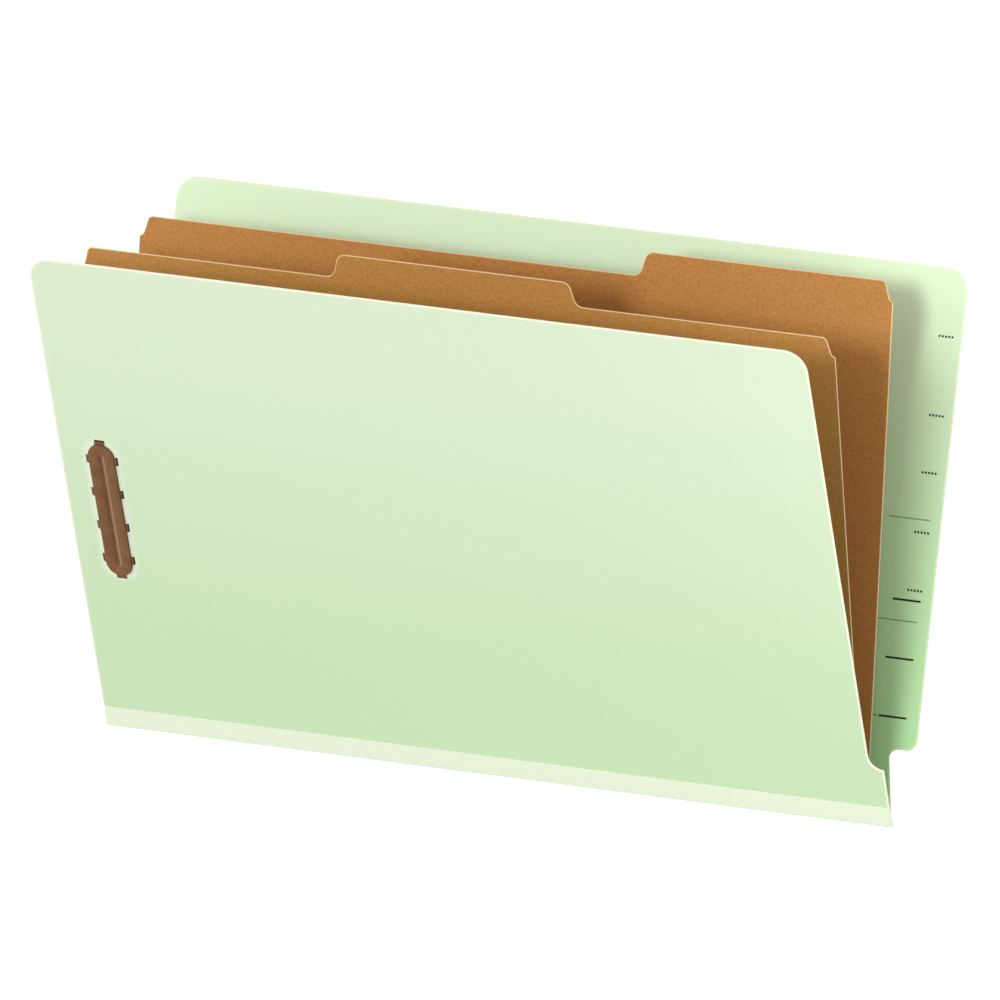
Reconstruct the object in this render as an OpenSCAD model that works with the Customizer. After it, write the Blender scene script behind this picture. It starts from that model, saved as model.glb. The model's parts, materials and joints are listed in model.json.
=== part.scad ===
// Legal-size end-tab classification folder: two pressboard covers and two index-tab
// dividers that swing on a folded film gusset, with prong fasteners on every leaf.
// The folder stands open on its spine. X runs along the spine, the front cover leans
// towards -Y, and the origin is the middle of the spine's underside.

/* [Covers] */
// Height of both covers above the hinge line
cover_h = 241.3; // [200:0.1:300]
// Thickness of the pressboard
cover_t = 0.64; // [0.4:0.01:0.9]
// Radius of the covers' top corners
cover_corner_r = 10.3; // [4:0.1:25]
// Width of the spine and of the front cover's foot
spine_w = 383; // [340:0.1:420]
// Radius of the hollow between the front cover's edge and its foot
front_scoop_r = 6.8; // [3:0.05:15]
// Height of the front cover's foot
front_foot_h = 29.4; // [20:0.1:60]
// Distance that the end tab stands past the spine
end_tab_reach = 2.5; // [0.5:0.05:20]
// Height at which the end tab starts
end_tab_bottom = 30.5; // [20:0.5:60]
// Distance from the spine's end to the neck under the end tab
end_tab_neck = 9.9; // [6.5:0.1:15]
// Distance that the back cover widens from its neck to the hinge line
back_foot_flare = 3.9; // [0.5:0.1:5]
// Radius of the end tab's lower corner
end_tab_corner_r = 5; // [2:0.1:8]
// Radius of the hollow under the end tab
end_tab_hollow_r = 3.9; // [2:0.1:7]

/* [Dividers] */
// Distance from the spine's left end to a divider's left edge
divider_inset = 1; // [0.5:0.1:8]
// Distance from a divider's right edge to the spine's right end
divider_margin = 15.9; // [10:0.1:60]
// Thickness of the divider board
divider_t = 0.43; // [0.25:0.01:0.6]
// Height of a divider beside its index tab
divider_low_h = 225.5; // [190:0.1:232]
// Height of a divider at its index tab
divider_tab_h = 236.5; // [234:0.1:260]
// Width of the middle index tab at half its height
index_tab_w = 114.9; // [60:0.1:150]
// Gap between neighbouring index tab positions
index_tab_gap = 5; // [3:0.1:20]
// Angle of the tab ends from the horizontal
tab_slope = 74; // [50:1:80]
// Radius of the rounds at a tab end
tab_r = 4.4; // [1:0.1:5]
// Height of the relief cut at a divider's top corners
corner_relief_h = 9; // [6.5:0.1:12]
// Distance from a divider's side to the middle of its corner relief
corner_relief_in = 2.9; // [0.5:0.1:4]
// Radius of the rounds in a corner relief
corner_relief_r = 2.6; // [1:0.1:4]

/* [Gusset] */
// Distance between neighbouring hinge lines
hinge_pitch = 3.5; // [3.2:0.1:8]
// Thickness of the gusset film
film_t = 0.2; // [0.1:0.01:0.25]
// Radius of the folded film bead on a hinge line
bead_r = 0.3; // [0.2:0.01:0.35]
// Height of the bare board's lower edge above its hinge line
board_lift = 0.8; // [0.7:0.05:2]
// Height of the film laps on the covers
lap_h = 10; // [6:0.5:15]
// Height of the film tapes on the dividers
tape_h = 12; // [6:0.5:20]
// Height of a stored gusset pleat
pleat_h = 7; // [4:0.5:12]
// Running gap between gusset pieces
film_gap = 0.12; // [0.08:0.01:0.2]

/* [Stance] */
// Forward lean of the front cover
front_cover_lean = 16.4; // [13:0.1:20]
// Forward lean of the front divider
front_divider_lean = 6; // [4:0.1:9]
// Backward lean of the rear divider
rear_divider_lean = 8; // [5:0.1:10]
// Backward lean of the back cover
back_cover_lean = 16.1; // [13:0.1:20]

/* [Fasteners] */
// Distance from the covers' left edge to the fasteners
fastener_x = 20.4; // [14:0.1:30]
// Height of the fasteners' middle above the hinge line
fastener_z = 114.5; // [95:0.1:125]
// Distance between the two prongs of a fastener
prong_centres = 69.85; // [66:0.05:75]
// Width of a prong
prong_w = 4.8; // [3:0.1:5.5]
// Thickness of a prong
prong_t = 0.36; // [0.25:0.01:0.45]
// Length of the cover prongs
cover_prong_l = 25.4; // [15:0.1:32]
// Length of the divider prongs
divider_prong_l = 25.4; // [15:0.1:32]
// Gap under a prong that lies flat
prong_gap = 0.1; // [0.06:0.01:0.15]
// Clearance of a tongue, claw or rivet in its slit
slit_gap = 0.06; // [0.03:0.01:0.15]
// Length of the open slit beyond a tongue or claw
slit_reveal = 0.45; // [0.1:0.01:0.8]
// Length of the outer fastener plate
plate_l = 67.2; // [66:0.1:69]
// Width of the outer fastener plate
plate_w = 12.7; // [10:0.1:14]
// Thickness of the plate's steel
plate_t = 0.4; // [0.3:0.01:0.6]
// Length of the channel pressed into the plate
channel_l = 58; // [40:0.1:60]
// Width of the channel
channel_w = 3.6; // [2:0.1:5]
// Depth of the channel
channel_d = 0.68; // [0.3:0.01:1]
// Gap between the channel's underside and the board
channel_gap = 0.02; // [0.01:0.01:0.1]
// Claws along each side of the plate
claw_count = 4; // [2:1:5]
// Length of a claw along the plate
claw_l = 4; // [2:0.1:6]
// Reach of a claw beyond the plate
claw_reach = 1; // [0.7:0.05:2]
// Distance between neighbouring claws
claw_pitch = 17; // [7:0.1:17.2]
// Length of the divider fastener's straps
strap_l = 80; // [78:0.1:95]
// Width of the divider fastener's straps
strap_w = 8; // [6:0.1:12]
// Thickness of the divider fastener's straps
strap_t = 0.36; // [0.25:0.01:0.45]
// Diameter of the rivets that join the straps
rivet_d = 2.6; // [1.5:0.1:4]
// Distance of each rivet from the fastener's middle
rivet_offset = 4.5; // [3:0.1:6]

/* [Hidden] */
$fn = 48;

board_green = [0.83, 0.91, 0.76];
film_green = [0.90, 0.94, 0.85];
kraft_brown = [0.69, 0.48, 0.25];
metal_brown = [0.53, 0.37, 0.25];

// The four leaves from front to back: hinge line and lean, forward positive
front_cover_y = -1.5 * hinge_pitch;
front_divider_y = -0.5 * hinge_pitch;
rear_divider_y = 0.5 * hinge_pitch;
back_cover_y = 1.5 * hinge_pitch;

// Widths of the leaves, all tied to the spine
front_cover_w = spine_w - front_scoop_r;
back_cover_w = spine_w + end_tab_reach;
back_neck_w = spine_w - end_tab_neck;
back_foot_w = back_neck_w + back_foot_flare;
divider_w = spine_w - divider_inset - divider_margin;

// Working depth for cuts that go right through a sheet
through = 4 * cover_t;
// Straight pieces in each round of a tab end
round_steps = 8;
prong_root_r = prong_t / 2;
plate_h = plate_t + channel_d + channel_gap;
channel_r = (channel_w * channel_w / 4 + channel_d * channel_d) / (2 * channel_d);

// Places a leaf: drawn in X and Z with its hinge line on X, its front face towards -Y
module on_leaf(hinge_y, lean)
    translate([-spine_w / 2, hinge_y, 0])
        rotate([lean, 0, 0])
            children();

module on_front_cover() on_leaf(front_cover_y, front_cover_lean) children();
module on_front_divider() on_leaf(front_divider_y, front_divider_lean) children();
module on_rear_divider() on_leaf(rear_divider_y, -rear_divider_lean) children();
module on_back_cover() on_leaf(back_cover_y, -back_cover_lean) children();

// A sheet of a leaf: an outline in X and Z, given its thickness about the leaf's middle plane
module sheet(thickness)
    rotate([90, 0, 0])
        linear_extrude(thickness, center = true)
            children();

// A film profile in Y and Z, run along the spine
module along_spine(length)
    rotate([90, 0, 90])
        linear_extrude(length)
            children();

// Rectangle on the line z = bottom with its two top corners rounded
module rounded_top(width, bottom, top, radius) {
    translate([0, bottom])
        square([width, top - radius - bottom]);
    translate([radius, bottom])
        square([width - 2 * radius, top - bottom]);
    for (x = [radius, width - radius])
        translate([x, top - radius])
            circle(radius);
}

// Square corner piece with a hollow quarter round, its solid corner at the origin
module hollow_corner(radius)
    difference() {
        square(radius);
        translate([radius, radius])
            circle(radius);
    }

// Front cover: a foot as long as the spine, and a hollow above it up to the cover's edge
module front_cover_outline(bottom) {
    rounded_top(front_cover_w, bottom, cover_h, cover_corner_r);
    translate([0, bottom])
        square([spine_w, front_foot_h - bottom]);
    translate([front_cover_w, front_foot_h])
        hollow_corner(front_scoop_r);
}

// Back cover: the end tab stands past the neck, and the foot widens again towards the hinge
module back_cover_outline(bottom) {
    neck_top = end_tab_bottom - end_tab_hollow_r;
    tab_corner = [back_cover_w - end_tab_corner_r, end_tab_bottom + end_tab_corner_r];
    rounded_top(back_cover_w, tab_corner[1], cover_h, cover_corner_r);
    translate([0, end_tab_bottom])
        square([tab_corner[0], end_tab_corner_r]);
    translate(tab_corner)
        circle(end_tab_corner_r);
    translate([0, neck_top])
        square([back_neck_w, end_tab_hollow_r]);
    translate([back_neck_w, end_tab_bottom])
        mirror([0, 1])
            hollow_corner(end_tab_hollow_r);
    polygon([[0, bottom], [back_foot_w, bottom], [back_neck_w, neck_top], [0, neck_top]]);
}

// Points along a round from one angle to another
function round_points(centre, radius, from, to) = [
    for (i = [0 : round_steps])
        let (angle = from + (to - from) * i / round_steps)
            centre + radius * [cos(angle), sin(angle)]
];

// Half the width of a step of the given height: a hollow round, a slope and a full round
function step_half_w(height, radius) =
    (height / 2 - radius * (1 - cos(tab_slope))) / tan(tab_slope) + radius * sin(tab_slope);

// Step from height z0 up to z1, its slope crossing x at half height
function step_up(x, z0, z1, radius) =
    let (half = step_half_w(z1 - z0, radius))
        concat(
            round_points([x - half, z0 + radius], radius, -90, tab_slope - 90),
            round_points([x + half, z1 - radius], radius, tab_slope + 90, 90)
        );

// The same step turned round, from height z1 down to z0
function step_down(x, z1, z0, radius) =
    let (points = step_up(0, z0, z1, radius))
        [for (i = [len(points) - 1 : -1 : 0]) [x - points[i][0], points[i][1]]];

// Cuts the steps at a divider's corners off at its sides
module divider_blank(bottom)
    intersection() {
        children();
        translate([0, bottom])
            square([divider_w, divider_tab_h - bottom]);
    }

// How far the steps at the corners would run past the sides
flare = step_half_w(corner_relief_h, corner_relief_r) + corner_relief_r;
low_relief_z = divider_low_h - corner_relief_h;
tab_relief_z = divider_tab_h - corner_relief_h;

// Front divider: the index tab is in the middle
module front_divider_outline(bottom) {
    tab_x = (divider_w - index_tab_w) / 2;
    divider_blank(bottom)
        polygon(concat(
            [[-flare, bottom], [-flare, low_relief_z]],
            step_up(corner_relief_in, low_relief_z, divider_low_h, corner_relief_r),
            step_up(tab_x, divider_low_h, divider_tab_h, tab_r),
            step_down(divider_w - tab_x, divider_tab_h, divider_low_h, tab_r),
            step_down(divider_w - corner_relief_in, divider_low_h, low_relief_z, corner_relief_r),
            [[divider_w + flare, low_relief_z], [divider_w + flare, bottom]]
        ));
}

// Rear divider: the index tab runs to the right side and ends in the corner relief
module rear_divider_outline(bottom) {
    tab_x = (divider_w + index_tab_w) / 2 + index_tab_gap;
    divider_blank(bottom)
        polygon(concat(
            [[-flare, bottom], [-flare, low_relief_z]],
            step_up(corner_relief_in, low_relief_z, divider_low_h, corner_relief_r),
            step_up(tab_x, divider_low_h, divider_tab_h, tab_r),
            step_down(divider_w - corner_relief_in, divider_tab_h, tab_relief_z, corner_relief_r),
            [[divider_w + flare, tab_relief_z], [divider_w + flare, bottom]]
        ));
}

// Film of one face of a leaf: it lies on the board up to the given height and runs in
// under the board's edge to the bead on the hinge line, which is flat where the folder
// stands on it. The face looks towards -Y, and the leaf leans as given.
module film_side(board_t, height, lean) {
    face = -board_t / 2;
    intersection() {
        union() {
            polygon([
                [face, height], [face - film_t, height], [face - film_t, board_lift],
                [-bead_r, 0], [0, 0], [face, board_lift]
            ]);
            circle(bead_r);
        }
        rotate(-lean)
            translate([-height, 0])
                square(2 * height);
    }
}

// Slits that the two tongues and the claws of an outer plate need in a cover, left open a
// little way beyond the steel
module plate_slits() {
    slit = plate_t + 2 * slit_gap + slit_reveal;
    for (side = [-1, 1])
        translate([fastener_x, 0, fastener_z + side * (prong_centres + slit_reveal) / 2])
            cube([prong_w + 2 * slit_gap, through, slit], center = true);
    for (side = [-1, 1], i = [0 : claw_count - 1])
        translate([claw_x(side) + side * slit_reveal / 2, 0, claw_z(i)])
            cube([slit, through, claw_l + 2 * slit_gap], center = true);
}

function claw_x(side) = fastener_x + side * (plate_w / 2 + claw_reach - plate_t / 2);
function claw_z(i) = fastener_z + (i - (claw_count - 1) / 2) * claw_pitch;

// Stadium outline, long along Z, about the fastener's middle
module stadium(length, width) {
    square([width, length - width], center = true);
    for (side = [-1, 1])
        translate([0, side * (length - width) / 2])
            circle(width / 2);
}

// Round body as long as the channel, its deepest line at y = 0
module channel_round(radius)
    translate([0, -channel_r, 0]) {
        cylinder(channel_l - channel_w, r = radius, center = true);
        for (side = [-1, 1])
            translate([0, 0, side * (channel_l - channel_w) / 2])
                sphere(radius);
    }

// Pressed shell of the outer plate, standing on y = 0: a rim all round, a face that stands
// off the board, and a channel along its middle that reaches down to the board again
module plate_shell() {
    face_rise = plate_h - plate_t;
    channel_floor = channel_d - plate_h;
    difference() {
        translate([0, -plate_h / 2, 0])
            sheet(plate_h)
                stadium(plate_l, plate_w);
        difference() {
            sheet(2 * face_rise)
                stadium(plate_l - 2 * plate_t, plate_w - 2 * plate_t);
            translate([0, channel_floor, 0])
                channel_round(channel_r + plate_t);
        }
        translate([0, channel_floor, 0])
            channel_round(channel_r);
    }
}

// Outer fastener plate on the face that looks towards -Y: a pressed shell, claws bent into
// the board, and two tongues that go through it to carry the prongs
module fastener_plate() {
    face = -cover_t / 2;
    tongue_end = (prong_centres + plate_t) / 2;
    translate([fastener_x, face, fastener_z])
        plate_shell();
    for (side = [-1, 1], i = [0 : claw_count - 1])
        translate([claw_x(side), 0, claw_z(i)])
            claw(side, face);
    for (side = [-1, 1])
        translate([fastener_x, 0, fastener_z])
            mirror([0, 0, (1 - side) / 2])
                tongue(face, tongue_end);
}

// One claw, about the middle of its tooth: an arm from the plate and a tooth in the board
module claw(side, face) {
    arm = claw_reach + plate_t / 2;
    translate([-side * (arm - plate_t) / 2, face - plate_t / 2, 0])
        cube([arm, plate_t, claw_l], center = true);
    translate([0, face + cover_t / 2 - slit_gap, 0])
        cube([plate_t, cover_t, claw_l], center = true);
}

// One tongue: an arm past the plate's end and a leg through the board
module tongue(face, tongue_end) {
    arm_start = plate_l / 2 - 2 * plate_t;
    leg_h = plate_t + cover_t + prong_gap / 2;
    translate([-prong_w / 2, face - plate_t, arm_start])
        cube([prong_w, plate_t, tongue_end - arm_start]);
    translate([-prong_w / 2, face - plate_t, tongue_end - plate_t])
        cube([prong_w, leg_h, plate_t]);
}

// Prong that lies along +Z on a surface that looks towards -Y, turning about X at the origin
module prong(length) {
    straight = length - prong_w / 2;
    translate([-prong_w / 2, -prong_root_r, 0])
        cube([prong_w, prong_t, straight]);
    translate([0, 0, straight])
        rotate([90, 0, 0])
            cylinder(prong_t, d = prong_w, center = true);
    rotate([0, 90, 0])
        cylinder(prong_w, r = prong_root_r, center = true);
}

// Places the root of a prong that lies towards the fastener's middle: end is 1 at the top
// and -1 below, and depth is the surface that it lies on
module at_prong(end, depth)
    translate([fastener_x, -depth - prong_gap - prong_root_r, fastener_z + end * prong_centres / 2])
        mirror([0, 0, (1 + end) / 2])
            children();

// Turns a piece drawn on the face towards -Y to the other face of its leaf
module on_rear_face() mirror([0, 1, 0]) children();

cover_prong_depth = cover_t / 2;
divider_prong_depth = divider_t / 2 + strap_t;

// Prong on the inner face of a cover, folded flat on the board
module cover_prong(end) at_prong(end, cover_prong_depth) prong(cover_prong_l);

// Prong on a divider's front face, folded flat on its strap
module divider_prong(end) at_prong(end, divider_prong_depth) prong(divider_prong_l);

// Two straps, one on each face of a divider, joined through it by rivets, with a low
// lug under each prong's root
module divider_fastener() {
    lug_h = prong_gap / 2;
    for (face = [0, 1])
        mirror([0, face, 0]) {
            translate([fastener_x, -divider_t / 2 - strap_t / 2, fastener_z])
                sheet(strap_t)
                    stadium(strap_l, strap_w);
            for (end = [-1, 1])
                translate([fastener_x, -divider_prong_depth, fastener_z + end * prong_centres / 2])
                    cube([prong_w, 2 * lug_h, prong_t], center = true);
        }
    for (end = [-1, 1])
        translate([fastener_x, 0, fastener_z + end * rivet_offset])
            rotate([90, 0, 0])
                cylinder(divider_t + strap_t, d = rivet_d, center = true);
}

// A divider's board with the holes that the rivets need
module divider_board()
    difference() {
        translate([divider_inset, 0, 0])
            sheet(divider_t)
                children();
        for (end = [-1, 1])
            translate([fastener_x, 0, fastener_z + end * rivet_offset])
                rotate([90, 0, 0])
                    cylinder(through, d = rivet_d + 2 * slit_gap, center = true);
    }

// Tape folded round the lower edge of a divider that leans as given
module divider_tape(lean)
    translate([divider_inset, 0, 0])
        along_spine(divider_w) {
            film_side(divider_t, tape_h, lean);
            mirror([1, 0])
                film_side(divider_t, tape_h, -lean);
        }

// Floor of one compartment: a ply of film from the hinge line at hinge_y to just past
// the compartment's middle
floor_start = bead_r + film_gap;
floor_end = hinge_pitch / 2 + film_t;
module gusset_floor(hinge_y)
    translate([-spine_w / 2, hinge_y, 0])
        along_spine(back_foot_w)
            translate([floor_start, 0])
                square([floor_end - floor_start, film_t]);

// Pleat that stores the compartment's spare width: a film folded up between the floor ply
// and the next leaf, leaning half way between the two leaves
module gusset_pleat(hinge_y, lean) {
    pleat_start = floor_end + film_gap;
    pleat_end = hinge_pitch - divider_t / 2 - film_t - film_gap;
    half = (pleat_end - pleat_start) / 2;
    translate([-spine_w / 2, hinge_y + pleat_start + half, film_gap])
        rotate([lean, 0, 0])
            along_spine(back_neck_w)
                polygon([
                    [-half, 0], [0, pleat_h], [half, 0],
                    [half - film_t, 0], [0, pleat_h - 2 * film_t], [film_t - half, 0]
                ]);
}

module front_cover()
    color(board_green)
        on_front_cover()
            difference() {
                sheet(cover_t)
                    front_cover_outline(board_lift);
                plate_slits();
            }

module front_lap()
    color(film_green)
        on_front_cover()
            along_spine(spine_w)
                film_side(cover_t, lap_h, front_cover_lean);

module front_fastener_plate() color(metal_brown) on_front_cover() fastener_plate();

module front_cover_prong_upper() color(metal_brown) on_front_cover() on_rear_face() cover_prong(1);
module front_cover_prong_lower() color(metal_brown) on_front_cover() on_rear_face() cover_prong(-1);

module front_gusset_floor() color(film_green) gusset_floor(front_cover_y);
module front_gusset_pleat()
    color(film_green)
        gusset_pleat(front_cover_y, (front_cover_lean + front_divider_lean) / 2);

module front_divider()
    color(kraft_brown)
        on_front_divider()
            divider_board()
                front_divider_outline(board_lift);

module front_divider_tape() color(film_green) on_front_divider() divider_tape(front_divider_lean);
module front_divider_fastener() color(metal_brown) on_front_divider() divider_fastener();

module front_divider_prong_front_upper() color(metal_brown) on_front_divider() divider_prong(1);
module front_divider_prong_front_lower() color(metal_brown) on_front_divider() divider_prong(-1);
module front_divider_prong_rear_upper()
    color(metal_brown) on_front_divider() on_rear_face() divider_prong(1);
module front_divider_prong_rear_lower()
    color(metal_brown) on_front_divider() on_rear_face() divider_prong(-1);

module middle_gusset_floor() color(film_green) gusset_floor(front_divider_y);
module middle_gusset_pleat()
    color(film_green)
        gusset_pleat(front_divider_y, (front_divider_lean - rear_divider_lean) / 2);

module rear_divider()
    color(kraft_brown)
        on_rear_divider()
            divider_board()
                rear_divider_outline(board_lift);

module rear_divider_tape() color(film_green) on_rear_divider() divider_tape(-rear_divider_lean);
module rear_divider_fastener() color(metal_brown) on_rear_divider() divider_fastener();

module rear_divider_prong_front_upper() color(metal_brown) on_rear_divider() divider_prong(1);
module rear_divider_prong_front_lower() color(metal_brown) on_rear_divider() divider_prong(-1);
module rear_divider_prong_rear_upper()
    color(metal_brown) on_rear_divider() on_rear_face() divider_prong(1);
module rear_divider_prong_rear_lower()
    color(metal_brown) on_rear_divider() on_rear_face() divider_prong(-1);

module back_gusset_floor() color(film_green) gusset_floor(rear_divider_y);
module back_gusset_pleat()
    color(film_green)
        gusset_pleat(rear_divider_y, -(rear_divider_lean + back_cover_lean) / 2);

module back_cover()
    color(board_green)
        on_back_cover()
            difference() {
                sheet(cover_t)
                    back_cover_outline(board_lift);
                plate_slits();
            }

// The lap follows the taper of the back cover's foot
module back_lap()
    color(film_green)
        on_back_cover()
            intersection() {
                on_rear_face()
                    along_spine(spine_w)
                        film_side(cover_t, lap_h, back_cover_lean);
                sheet(through)
                    back_cover_outline(-board_lift);
            }

module back_fastener_plate() color(metal_brown) on_back_cover() on_rear_face() fastener_plate();

module back_cover_prong_upper() color(metal_brown) on_back_cover() cover_prong(1);
module back_cover_prong_lower() color(metal_brown) on_back_cover() cover_prong(-1);

front_cover();
front_lap();
front_fastener_plate();
front_cover_prong_upper();
front_cover_prong_lower();
front_gusset_floor();
front_gusset_pleat();
front_divider();
front_divider_tape();
front_divider_fastener();
front_divider_prong_front_upper();
front_divider_prong_front_lower();
front_divider_prong_rear_upper();
front_divider_prong_rear_lower();
middle_gusset_floor();
middle_gusset_pleat();
rear_divider();
rear_divider_tape();
rear_divider_fastener();
rear_divider_prong_front_upper();
rear_divider_prong_front_lower();
rear_divider_prong_rear_upper();
rear_divider_prong_rear_lower();
back_gusset_floor();
back_gusset_pleat();
back_cover();
back_lap();
back_fastener_plate();
back_cover_prong_upper();
back_cover_prong_lower();
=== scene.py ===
# %% [markdown]
# # A classification folder that stands open on its spine
# The object is two pressboard covers and two kraft dividers, hinged on a folded film
# gusset and fitted with brown steel fasteners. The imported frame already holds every
# piece at its real size, so this lesson only gives the pieces their edges, folds and
# finishes. We start by loading that frame and noting how big it is.

# %% Load the frame
import json
import math

import bmesh
import bpy
from mathutils import Matrix, Vector


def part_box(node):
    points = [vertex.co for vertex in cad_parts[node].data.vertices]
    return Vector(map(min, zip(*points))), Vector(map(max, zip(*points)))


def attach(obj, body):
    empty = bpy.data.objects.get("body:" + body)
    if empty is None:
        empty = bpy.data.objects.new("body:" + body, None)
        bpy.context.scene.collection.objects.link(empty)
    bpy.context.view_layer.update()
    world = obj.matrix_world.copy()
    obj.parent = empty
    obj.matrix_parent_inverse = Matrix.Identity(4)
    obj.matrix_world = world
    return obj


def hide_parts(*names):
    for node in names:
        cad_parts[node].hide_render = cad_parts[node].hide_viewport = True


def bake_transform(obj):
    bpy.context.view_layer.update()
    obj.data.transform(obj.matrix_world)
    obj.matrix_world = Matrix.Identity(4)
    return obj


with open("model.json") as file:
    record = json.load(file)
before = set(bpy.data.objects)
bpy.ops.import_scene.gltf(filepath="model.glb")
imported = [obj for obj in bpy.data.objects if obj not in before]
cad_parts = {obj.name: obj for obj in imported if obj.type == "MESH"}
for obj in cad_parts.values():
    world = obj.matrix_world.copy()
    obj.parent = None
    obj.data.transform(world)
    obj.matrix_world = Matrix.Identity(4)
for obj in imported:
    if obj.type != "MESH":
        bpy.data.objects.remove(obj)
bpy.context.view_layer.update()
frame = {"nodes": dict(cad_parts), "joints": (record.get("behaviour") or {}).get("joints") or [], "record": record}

MM = 0.001

# %% [markdown]
# ## Four leaves, four small coordinate frames
# Each leaf is a flat sheet that leans about its own hinge line. Working in the leaf's own
# frame (X along the spine, Y through the sheet, Z up the sheet) keeps every later step
# simple. The hinge lines come from the joints, and the lean comes from the normal of the
# leaf's largest triangle, so nothing has to be measured twice.

# %% Find the leaves
LEAVES = ("front_cover", "front_divider", "rear_divider", "back_cover")
SPINE_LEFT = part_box("front_cover")[0].x

hinge_y = {
    joint["child"]: joint["pos_m"][1] for joint in frame["joints"] if joint["name"].endswith("_turn")
}
HINGE_PITCH = hinge_y["rear_divider"] - hinge_y["front_divider"]
hinge_y["back_cover"] = hinge_y["rear_divider"] + HINGE_PITCH


def leaf_normal(leaf):
    """The direction that a leaf's front face looks in."""
    largest = max(frame["nodes"][leaf].data.polygons, key=lambda face: face.area)
    return largest.normal.copy() if largest.normal.y < 0 else -largest.normal


def leaf_lean(leaf):
    """How far a leaf leans forward, in radians."""
    normal = leaf_normal(leaf)
    return math.atan2(-normal.z, -normal.y)


leaf_place = {
    leaf: Matrix.Translation((SPINE_LEFT, hinge_y[leaf], 0)) @ Matrix.Rotation(leaf_lean(leaf), 4, "X")
    for leaf in LEAVES
}


def leaf_box(node, leaf):
    """Lowest and highest corner of a CAD node in the frame of a leaf."""
    into_leaf = leaf_place[leaf].inverted()
    points = [into_leaf @ vertex.co for vertex in frame["nodes"][node].data.vertices]
    low = Vector([min(point[axis] for point in points) for axis in range(3)])
    high = Vector([max(point[axis] for point in points) for axis in range(3)])
    return low, high


def leaf_thickness(leaf):
    """Thickness of a leaf's board."""
    low, high = leaf_box(leaf, leaf)
    return high.y - low.y


for leaf in LEAVES:
    lean = math.degrees(leaf_lean(leaf))
    print(f"{leaf}: leans {lean:.1f} degrees, {leaf_thickness(leaf) / MM:.2f} mm thick")

# %% [markdown]
# ## Helpers for shader nodes
# A finish is a graph of nodes. It could be wired by hand in the editor, but a script can be
# read, compared and run again. One helper adds a node, sets its options and plugs in its
# inputs, which keeps each graph readable as a list of steps.

# %% Node helpers
def add_node(tree, kind, inputs=None, **options):
    """Adds a node, sets its options, and links or sets its inputs."""
    node = tree.nodes.new(kind)
    for name, value in options.items():
        setattr(node, name, value)
    for name, value in (inputs or {}).items():
        if isinstance(value, bpy.types.NodeSocket):
            tree.links.new(value, node.inputs[name])
        else:
            node.inputs[name].default_value = value
    return node


def math_node(tree, operation, first, second=0.0):
    return add_node(tree, "ShaderNodeMath", {0: first, 1: second}, operation=operation).outputs["Value"]


def mix_colours(tree, share, first, second):
    """Mixes two colours, which may be sockets or fixed values."""
    node = add_node(tree, "ShaderNodeMix", {"Factor": share}, data_type="RGBA")
    for name, value in (("A", first), ("B", second)):
        socket = next(s for s in node.inputs if s.name == name and s.type == "RGBA")
        if isinstance(value, bpy.types.NodeSocket):
            tree.links.new(value, socket)
        else:
            socket.default_value = value
    return next(s for s in node.outputs if s.type == "RGBA")


def map_range(tree, value, low, high, to_low=0.0, to_high=1.0):
    """Maps a value smoothly from one range to another."""
    return add_node(
        tree,
        "ShaderNodeMapRange",
        {"Value": value, "From Min": low, "From Max": high, "To Min": to_low, "To Max": to_high},
        interpolation_type="SMOOTHSTEP",
    ).outputs["Result"]


def srgb(red, green, blue):
    """A screen colour from 0 to 255 as the linear colour that shaders use."""
    def linear(value):
        share = value / 255
        return share / 12.92 if share <= 0.04045 else ((share + 0.055) / 1.055) ** 2.4
    return (linear(red), linear(green), linear(blue), 1.0)


print("node helpers ready, mid grey is", round(srgb(128, 128, 128)[0], 3))

# %% [markdown]
# ## Helpers for node groups
# A pattern that several papers share could be copied into each material. As a node group with
# named sockets it is built once, and each material only sets its own values.

# %% Group helpers
VALUE, VECTOR = "NodeSocketFloat", "NodeSocketVector"


def new_group(name, inputs, outputs):
    """An empty shader node group with named sockets."""
    group = bpy.data.node_groups.new(name, "ShaderNodeTree")
    for direction, sockets in (("INPUT", inputs), ("OUTPUT", outputs)):
        for socket, kind in sockets.items():
            group.interface.new_socket(socket, in_out=direction, socket_type=kind)
    start = group.nodes.new("NodeGroupInput")
    end = group.nodes.new("NodeGroupOutput")
    return group, start.outputs, end.inputs


def place_group(tree, group, inputs):
    """Places a node group in a material with its own values."""
    return add_node(tree, "ShaderNodeGroup", inputs, node_tree=group).outputs


print("group sockets:", VALUE, VECTOR)

# %% [markdown]
# ## The grain that all the papers share
# Pressboard, kraft board and spun film are all felted fibre. Seen close, each has a fine
# mottle, longer streaks along the machine direction and a few stray flecks. One group makes
# all three from noise on the object's own coordinates, so the grain has a real size and stays
# put on every side. A picture texture would need unwrapping, and would not scale.

# %% Fibre group
FIBRE_STRETCH = (0.12, 1.0, 1.0)
STREAK_HEIGHT = 0.6


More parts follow.
